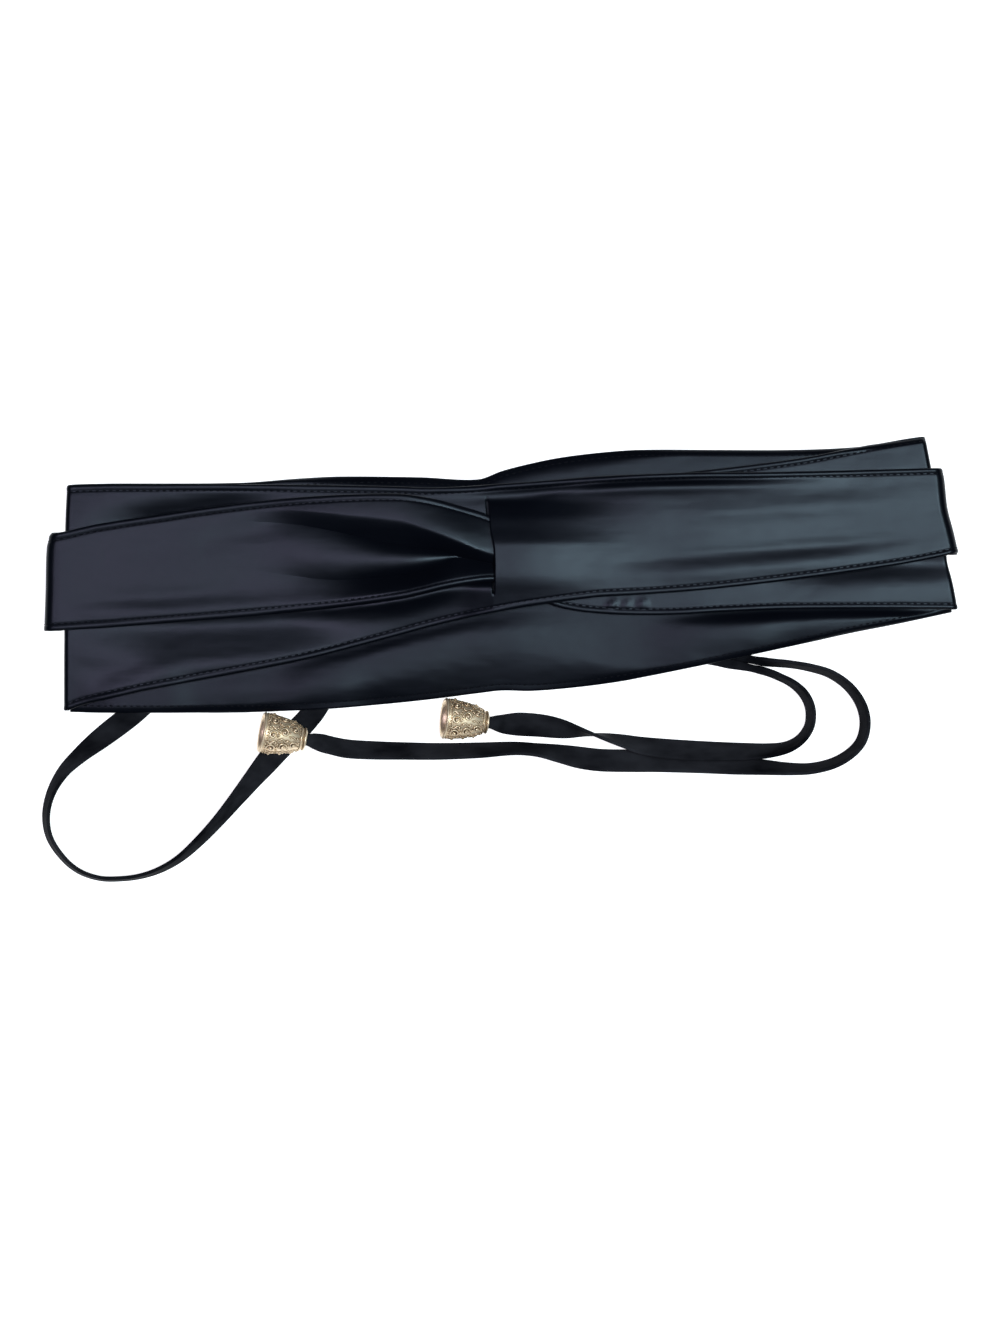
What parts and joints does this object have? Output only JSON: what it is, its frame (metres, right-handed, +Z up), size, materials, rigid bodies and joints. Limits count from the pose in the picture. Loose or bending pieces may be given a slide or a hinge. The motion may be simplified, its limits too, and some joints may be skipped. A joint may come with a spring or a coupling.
{
  "type": "satin sash",
  "caption": "Wide satin wrap sash with a slit, wound flat with the wrap drawn through it, and narrow ribbon ties ending in bell caps.",
  "frame": {"origin": "centre of the wound sash's box at the surface it lies on, ties and bell caps not counted", "axes": "+X along the sash towards the end where the front panel narrows, +Y from the ties' side towards the top edge, +Z up off the surface"},
  "size_m": [0.4032, 0.1961, 0.0202],
  "materials": {
    "satin_front": "satin weave, midnight navy, soft sheen",
    "satin_strap": "satin weave, midnight navy, soft sheen",
    "satin_under": "satin weave, midnight navy, soft sheen",
    "satin_back": "satin weave, midnight navy, soft sheen",
    "satin_tails": "satin weave, midnight navy, soft sheen",
    "ribbon_loop": "satin ribbon, near black",
    "ribbon_outer": "satin ribbon, near black",
    "ribbon_inner": "satin ribbon, near black",
    "gilt_outer": "pale antique gold, pierced-look relief",
    "gilt_inner": "pale antique gold, pierced-look relief"
  },
  "bodies": {
    "root": {"front_panel": "satin_front", "wrap_strap": "satin_strap", "under_wrap": "satin_under", "back_wrap": "satin_back", "hidden_tails": "satin_tails", "tie_left_loop": "ribbon_loop", "tie_outer": "ribbon_outer", "tie_inner": "ribbon_inner", "bell_outer": "gilt_outer", "bell_inner": "gilt_inner"}
  },
  "joints": []
}
